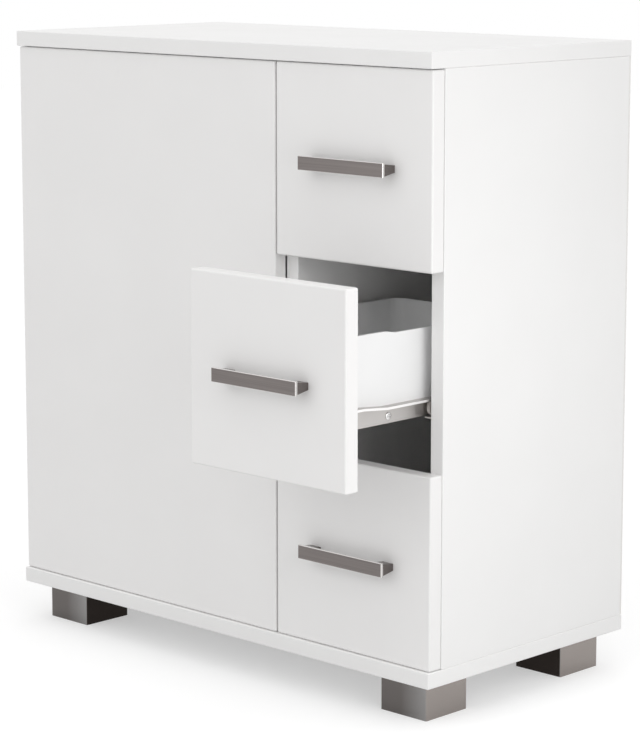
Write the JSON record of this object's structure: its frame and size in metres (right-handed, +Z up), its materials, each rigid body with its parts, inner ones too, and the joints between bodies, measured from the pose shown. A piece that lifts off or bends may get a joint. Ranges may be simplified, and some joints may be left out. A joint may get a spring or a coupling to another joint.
{
  "type": "bathroom cabinet",
  "caption": "White floor-standing bathroom cabinet on square metal-look feet, with a push-to-open door, a column of drawers with bar handles, and trays on roller runners.",
  "frame": {"origin": "on the floor, under the middle of the top and bottom panels", "axes": "+X to the right of someone facing the fronts, +Y to the back, +Z up"},
  "size_m": [0.6, 0.434, 0.65],
  "materials": {
    "white_board": "white melamine on particle board, satin",
    "white_front": "white foil on board, satin",
    "back_board": "white-faced hardboard, matt",
    "foot_metal_look": "satin metallic grey",
    "tray_plastic": "white moulded plastic, satin",
    "handle_nickel": "brushed dark nickel",
    "runner_steel": "white coated steel, satin",
    "roller_plastic": "pale grey moulded plastic",
    "hinge_steel": "nickel plated",
    "zinc_steel": "zinc plated",
    "dowel_wood": "bare beech",
    "latch_grey": "grey moulded plastic",
    "latch_white": "white moulded plastic"
  },
  "bodies": {
    "cabinet": {"top_panel": "white_board", "bottom_panel": "white_board", "left_side_panel": "white_board", "right_side_panel": "white_board", "centre_divider": "white_board", "back_panel": "back_board", "shelf": "white_board", "shelf_pins": "zinc_steel", "foot_front_left": "foot_metal_look", "foot_front_right": "foot_metal_look", "foot_rear_left": "foot_metal_look", "foot_rear_right": "foot_metal_look", "foot_screws": "zinc_steel", "cam_locks": "zinc_steel", "cam_bolts": "zinc_steel", "dowels": "dowel_wood", "back_panel_nails": "zinc_steel", "hinge_arm_upper": "hinge_steel", "hinge_arm_lower": "hinge_steel", "hinge_plate_upper": "hinge_steel", "hinge_plate_lower": "hinge_steel", "hinge_plate_screws": "zinc_steel", "cabinet_runners_bottom": "runner_steel", "cabinet_runners_middle": "runner_steel", "cabinet_runners_top": "runner_steel", "cabinet_runner_screws": "zinc_steel", "push_latch_body": "latch_grey", "push_latch_screws": "zinc_steel"},
    "door": {"door_panel": "white_front", "hinge_cup_upper": "hinge_steel", "hinge_cup_lower": "hinge_steel", "hinge_pins": "hinge_steel", "hinge_cup_screws": "zinc_steel", "latch_strike": "zinc_steel"},
    "latch_plunger": {"push_latch_plunger": "latch_white"},
    "drawer_bottom": {"drawer_front_bottom": "white_front", "drawer_tray_bottom": "tray_plastic", "handle_bottom": "handle_nickel", "handle_screws_bottom": "zinc_steel", "drawer_runners_bottom": "runner_steel", "runner_screws_bottom": "zinc_steel"},
    "front_rollers_bottom": {"front_rollers_bottom": "roller_plastic"},
    "rear_rollers_bottom": {"rear_rollers_bottom": "roller_plastic"},
    "drawer_middle": {"drawer_front_middle": "white_front", "drawer_tray_middle": "tray_plastic", "handle_middle": "handle_nickel", "handle_screws_middle": "zinc_steel", "drawer_runners_middle": "runner_steel", "runner_screws_middle": "zinc_steel"},
    "front_rollers_middle": {"front_rollers_middle": "roller_plastic"},
    "rear_rollers_middle": {"rear_rollers_middle": "roller_plastic"},
    "drawer_top": {"drawer_front_top": "white_front", "drawer_tray_top": "tray_plastic", "handle_top": "handle_nickel", "handle_screws_top": "zinc_steel", "drawer_runners_top": "runner_steel", "runner_screws_top": "zinc_steel"},
    "front_rollers_top": {"front_rollers_top": "roller_plastic"},
    "rear_rollers_top": {"rear_rollers_top": "roller_plastic"}
  },
  "joints": [
    {"name": "door_swing", "type": "hinge", "parent": "cabinet", "child": "door", "pos_m": [-0.292, -0.1405, 0.345], "axis": [0, 0, -1], "range_deg": [0, 100]},
    {"name": "latch_push", "type": "slide", "parent": "cabinet", "child": "latch_plunger", "axis": [0, -1, 0], "range_m": [0, 0.01]},
    {"name": "drawer_slide_bottom", "type": "slide", "parent": "cabinet", "child": "drawer_bottom", "axis": [0, -1, 0], "range_m": [0, 0.187]},
    {"name": "front_rollers_bottom_spin", "type": "hinge", "parent": "cabinet", "child": "front_rollers_bottom", "pos_m": [0.1955, -0.12, 0.1162], "axis": [1, 0, 0], "range_deg": [0, 1340]},
    {"name": "rear_rollers_bottom_spin", "type": "hinge", "parent": "drawer_bottom", "child": "rear_rollers_bottom", "pos_m": [0.1955, 0.108, 0.1162], "axis": [1, 0, 0], "range_deg": [0, 1340]},
    {"name": "drawer_slide_middle", "type": "slide", "parent": "cabinet", "child": "drawer_middle", "axis": [0, -1, 0], "range_m": [-0.117, 0.07]},
    {"name": "front_rollers_middle_spin", "type": "hinge", "parent": "cabinet", "child": "front_rollers_middle", "pos_m": [0.1955, -0.12, 0.3091], "axis": [1, 0, 0], "range_deg": [-838, 502]},
    {"name": "rear_rollers_middle_spin", "type": "hinge", "parent": "drawer_middle", "child": "rear_rollers_middle", "pos_m": [0.1955, -0.009, 0.3091], "axis": [1, 0, 0], "range_deg": [-838, 502]},
    {"name": "drawer_slide_top", "type": "slide", "parent": "cabinet", "child": "drawer_top", "axis": [0, -1, 0], "range_m": [0, 0.187]},
    {"name": "front_rollers_top_spin", "type": "hinge", "parent": "cabinet", "child": "front_rollers_top", "pos_m": [0.1955, -0.12, 0.502], "axis": [1, 0, 0], "range_deg": [0, 1340]},
    {"name": "rear_rollers_top_spin", "type": "hinge", "parent": "drawer_top", "child": "rear_rollers_top", "pos_m": [0.1955, 0.108, 0.502], "axis": [1, 0, 0], "range_deg": [0, 1340]}
  ],
  "couplings": [
    {"joint": "latch_push", "follows": "door_swing", "m_per_rad": 0.0057295},
    {"joint": "front_rollers_bottom_spin", "follows": "drawer_slide_bottom", "rad_per_m": 125},
    {"joint": "rear_rollers_bottom_spin", "follows": "drawer_slide_bottom", "rad_per_m": 125},
    {"joint": "front_rollers_middle_spin", "follows": "drawer_slide_middle", "rad_per_m": 125},
    {"joint": "rear_rollers_middle_spin", "follows": "drawer_slide_middle", "rad_per_m": 125},
    {"joint": "front_rollers_top_spin", "follows": "drawer_slide_top", "rad_per_m": 125},
    {"joint": "rear_rollers_top_spin", "follows": "drawer_slide_top", "rad_per_m": 125}
  ]
}
